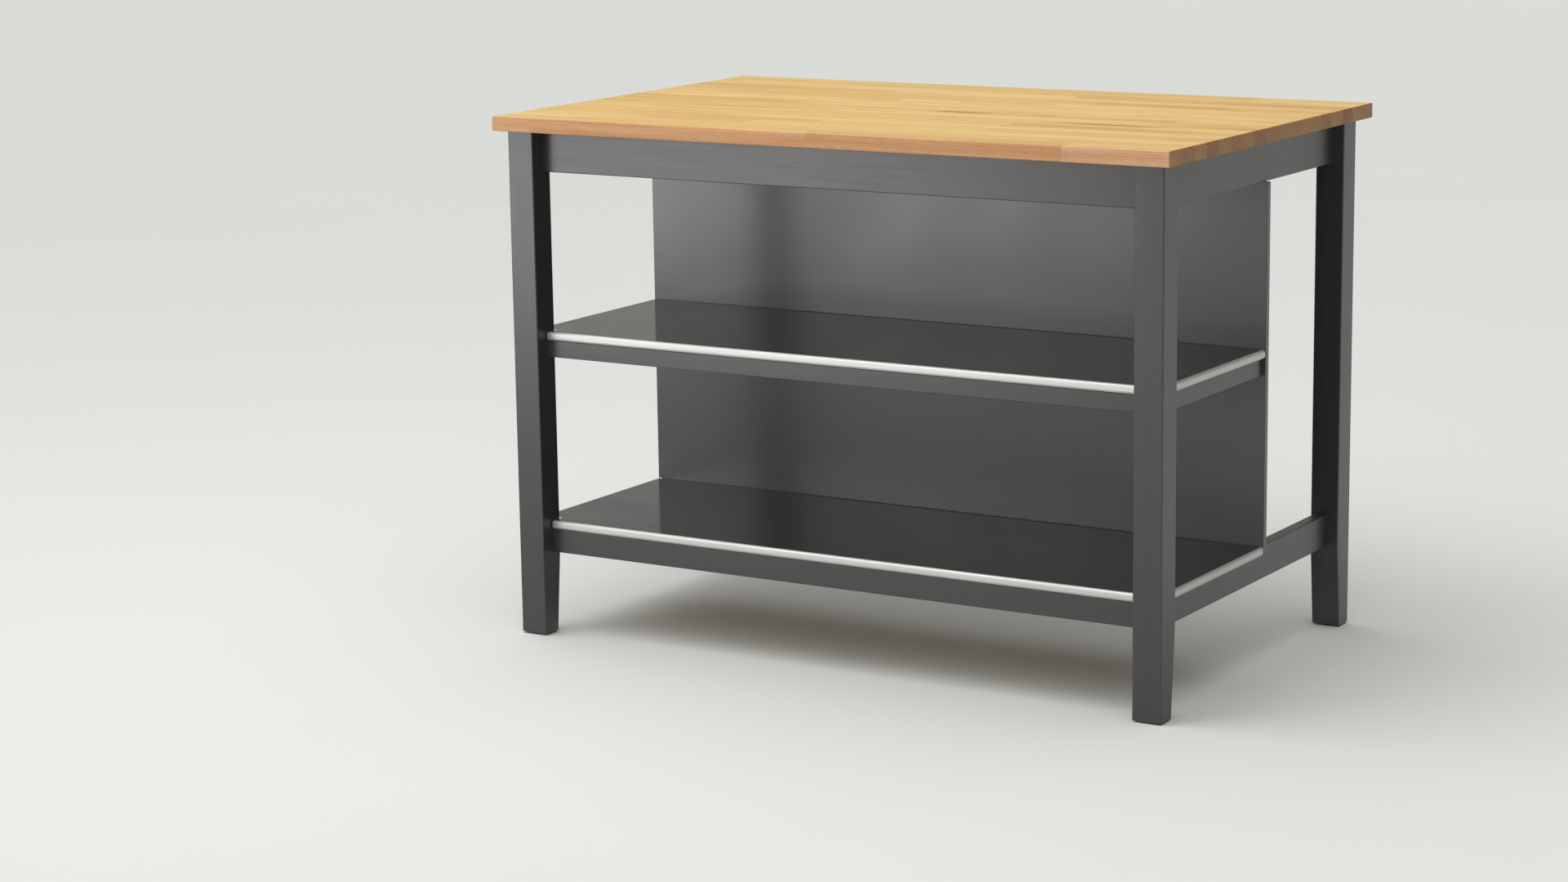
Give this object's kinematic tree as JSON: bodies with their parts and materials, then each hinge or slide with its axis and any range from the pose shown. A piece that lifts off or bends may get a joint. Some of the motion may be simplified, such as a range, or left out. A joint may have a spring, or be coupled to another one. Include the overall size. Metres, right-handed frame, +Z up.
{
  "type": "butcher block table",
  "caption": "Kitchen work table: butcher-block worktop on a dark wooden frame, steel-clad shelves in the front bay, a back panel and open knee space behind it.",
  "frame": {"origin": "on the floor, under the middle of the worktop", "axes": "+X along the table to its right end, +Y from the shelf side to the knee space at the back, +Z up"},
  "size_m": [1.26, 0.79, 0.9],
  "materials": {
    "oiled_oak": "oiled, low sheen, staves glued edge to edge",
    "lacquered_wood": "black-brown stain under satin lacquer",
    "lacquered_fibreboard": "black-brown satin lacquer, smooth",
    "satin_steel": "stainless sheet, satin, rolled edges",
    "chipboard": "raw pressed chips",
    "zinc_plate": "bright zinc plating",
    "beech": "raw, fluted dowel stock",
    "black_plastic": "moulded, matt"
  },
  "bodies": {
    "root": {"back_apron": "lacquered_wood", "back_panel": "lacquered_fibreboard", "cam_bolt_back_apron_left": "zinc_plate", "cam_bolt_back_apron_right": "zinc_plate", "cam_bolt_front_apron_left": "zinc_plate", "cam_bolt_front_apron_right": "zinc_plate", "cam_bolt_lower_front_rail_left": "zinc_plate", "cam_bolt_lower_front_rail_right": "zinc_plate", "cam_bolt_middle_front_rail_left": "zinc_plate", "cam_bolt_middle_front_rail_right": "zinc_plate", "cam_lock_back_apron_left": "zinc_plate", "cam_lock_back_apron_right": "zinc_plate", "cam_lock_front_apron_left": "zinc_plate", "cam_lock_front_apron_right": "zinc_plate", "cam_lock_lower_front_rail_left": "zinc_plate", "cam_lock_lower_front_rail_right": "zinc_plate", "cam_lock_middle_front_rail_left": "zinc_plate", "cam_lock_middle_front_rail_right": "zinc_plate", "dowel_back_apron_left": "beech", "dowel_back_apron_right": "beech", "dowel_front_apron_left": "beech", "dowel_front_apron_right": "beech", "foot_glide_back_left": "black_plastic", "foot_glide_back_right": "black_plastic", "foot_glide_front_left": "black_plastic", "foot_glide_front_right": "black_plastic", "front_apron": "lacquered_wood", "leg_back_left": "lacquered_wood", "leg_back_right": "lacquered_wood", "leg_front_left": "lacquered_wood", "leg_front_right": "lacquered_wood", "lower_back_rail": "lacquered_wood", "lower_front_rail": "lacquered_wood", "lower_shelf_core": "chipboard", "lower_shelf_skin": "satin_steel", "lower_side_rail_left": "lacquered_wood", "lower_side_rail_right": "lacquered_wood", "middle_back_rail": "lacquered_wood", "middle_front_rail": "lacquered_wood", "middle_shelf_core": "chipboard", "middle_shelf_skin": "satin_steel", "middle_side_rail_left": "lacquered_wood", "middle_side_rail_right": "lacquered_wood", "panel_screw_lower_left": "zinc_plate", "panel_screw_lower_right": "zinc_plate", "panel_screw_middle_left": "zinc_plate", "panel_screw_middle_right": "zinc_plate", "panel_screw_top_left": "zinc_plate", "panel_screw_top_right": "zinc_plate", "panel_top_rail": "lacquered_wood", "side_apron_left": "lacquered_wood", "side_apron_right": "lacquered_wood", "top_bracket_back_left": "zinc_plate", "top_bracket_back_right": "zinc_plate", "top_bracket_front_left": "zinc_plate", "top_bracket_front_right": "zinc_plate", "top_bracket_side_left": "zinc_plate", "top_bracket_side_right": "zinc_plate", "worktop": "oiled_oak"}
  },
  "joints": []
}
